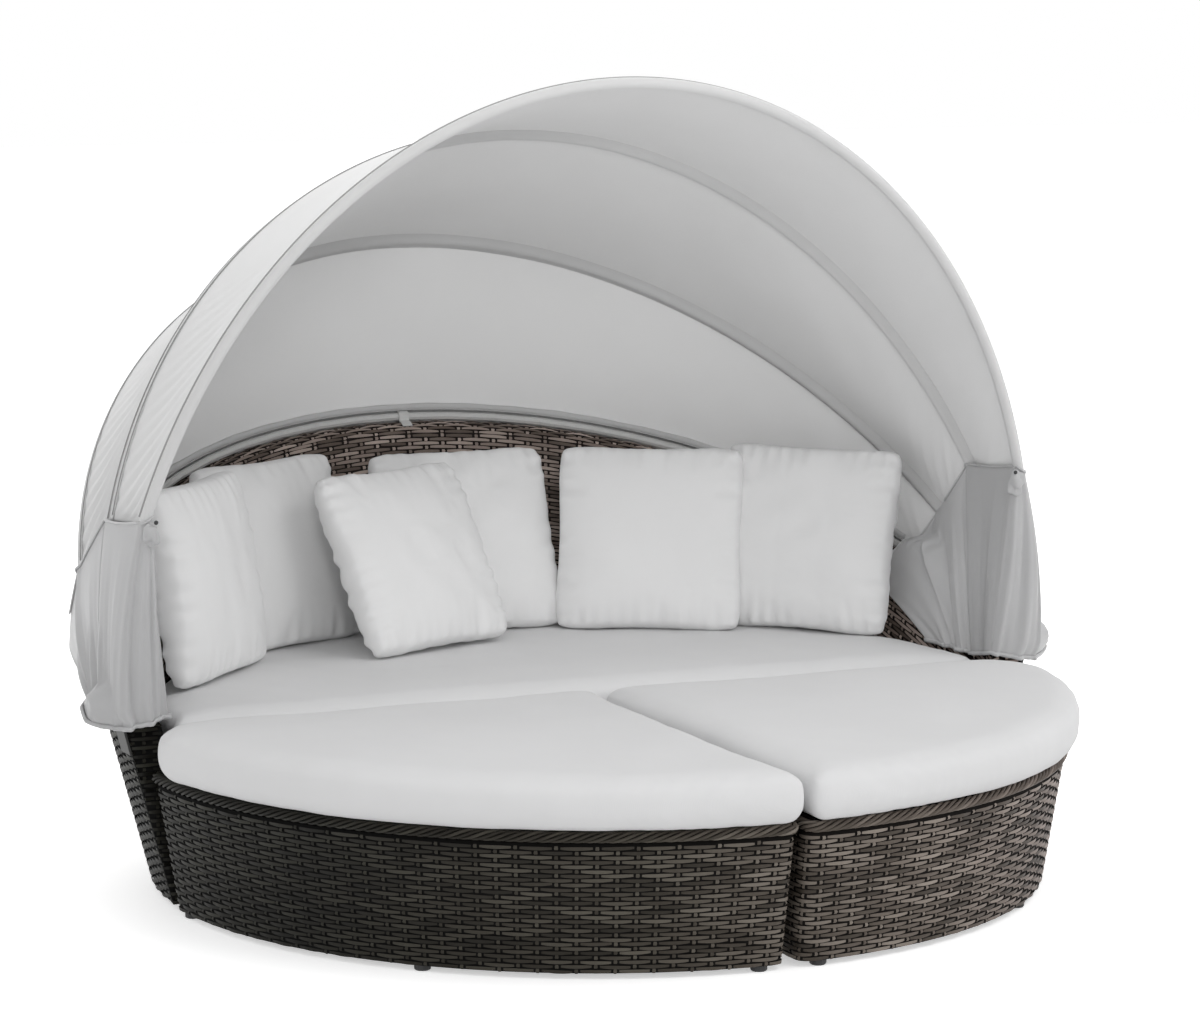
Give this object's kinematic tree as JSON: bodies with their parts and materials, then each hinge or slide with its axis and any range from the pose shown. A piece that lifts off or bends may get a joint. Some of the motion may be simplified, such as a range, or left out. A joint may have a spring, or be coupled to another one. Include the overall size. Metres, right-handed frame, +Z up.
{
  "type": "outdoor daybed with canopy",
  "caption": "Round wicker daybed: a half-round sofa with a folding cloth canopy on hoops, two quarter-round ottomans, seat cushions and pillows.",
  "frame": {"origin": "middle of the daybed's box, on the ground", "axes": "+Z up, -Y the way the sitter faces, +X to the right seen from the front"},
  "size_m": [2.1976, 2.1996, 1.6968],
  "materials": {
    "wicker": "woven synthetic rattan, dark grey brown, mottled",
    "cushion_cloth": "plain white outdoor canvas, matt",
    "canopy_cloth": "light grey white woven polyester with a faint sheen",
    "frame_tube": "powder coated aluminium tube",
    "bolt_steel": "zinc plated",
    "black_plastic": "moulded black nylon"
  },
  "bodies": {
    "sofa": {"sofa_frame": "frame_tube", "sofa_deck": "wicker", "sofa_back_skin": "wicker", "sofa_front_panel": "wicker", "sofa_front_braid": "wicker", "sofa_cushion": "cushion_cloth", "sofa_glide_1": "black_plastic", "sofa_glide_2": "black_plastic", "sofa_glide_3": "black_plastic", "sofa_glide_4": "black_plastic", "sofa_glide_5": "black_plastic", "pillow_1": "cushion_cloth", "pillow_2": "cushion_cloth", "pillow_3": "cushion_cloth", "pillow_4": "cushion_cloth", "pillow_5": "cushion_cloth", "pillow_6": "cushion_cloth", "left_pivot_bracket": "frame_tube", "right_pivot_bracket": "frame_tube", "left_pivot_bolt": "bolt_steel", "right_pivot_bolt": "bolt_steel", "left_pivot_knob": "black_plastic", "right_pivot_knob": "black_plastic", "rear_hoop": "frame_tube", "hoop_strap_1": "frame_tube", "hoop_strap_2": "frame_tube", "hoop_strap_3": "frame_tube", "hoop_strap_4": "frame_tube", "hoop_strap_5": "frame_tube", "canopy_rear_panel": "canopy_cloth", "left_flap": "canopy_cloth", "right_flap": "canopy_cloth"},
    "back_hoop": {"back_hoop": "frame_tube", "canopy_middle_panel": "canopy_cloth"},
    "middle_hoop": {"middle_hoop": "frame_tube", "canopy_front_panel": "canopy_cloth"},
    "front_hoop": {"front_hoop": "frame_tube"},
    "left_ottoman": {"left_ottoman_frame": "frame_tube", "left_ottoman_deck": "wicker", "left_ottoman_wall": "wicker", "left_ottoman_rim_braid": "wicker", "left_ottoman_cushion": "cushion_cloth", "left_ottoman_glide_1": "black_plastic", "left_ottoman_glide_2": "black_plastic", "left_ottoman_glide_3": "black_plastic", "left_ottoman_glide_4": "black_plastic"},
    "right_ottoman": {"right_ottoman_frame": "frame_tube", "right_ottoman_deck": "wicker", "right_ottoman_wall": "wicker", "right_ottoman_rim_braid": "wicker", "right_ottoman_cushion": "cushion_cloth", "right_ottoman_glide_1": "black_plastic", "right_ottoman_glide_2": "black_plastic", "right_ottoman_glide_3": "black_plastic", "right_ottoman_glide_4": "black_plastic"}
  },
  "joints": [
    {"name": "back_hoop_fold", "type": "hinge", "parent": "sofa", "child": "back_hoop", "pos_m": [0, -0.03015, 0.42976], "axis": [-1, 0, 0], "range_deg": [0, 7.6], "deforming": ["canopy_rear_panel", "canopy_middle_panel", "canopy_front_panel", "left_flap", "right_flap"]},
    {"name": "middle_hoop_fold", "type": "hinge", "parent": "back_hoop", "child": "middle_hoop", "pos_m": [0, -0.03015, 0.42976], "axis": [-1, 0, 0], "range_deg": [0, 21.9], "deforming": ["canopy_middle_panel", "canopy_front_panel", "left_flap", "right_flap"]},
    {"name": "front_hoop_fold", "type": "hinge", "parent": "middle_hoop", "child": "front_hoop", "pos_m": [0, -0.03015, 0.42976], "axis": [-1, 0, 0], "range_deg": [0, 22], "deforming": ["canopy_front_panel", "left_flap", "right_flap"]},
    {"name": "left_ottoman_slide", "type": "slide", "parent": "sofa", "child": "left_ottoman", "axis": [0, -1, 0], "range_m": [0, 0.6]},
    {"name": "right_ottoman_slide", "type": "slide", "parent": "sofa", "child": "right_ottoman", "axis": [0, -1, 0], "range_m": [0, 0.6]}
  ],
  "couplings": [
    {"joint": "middle_hoop_fold", "follows": "back_hoop_fold", "ratio": 2.88},
    {"joint": "front_hoop_fold", "follows": "back_hoop_fold", "ratio": 2.89}
  ]
}
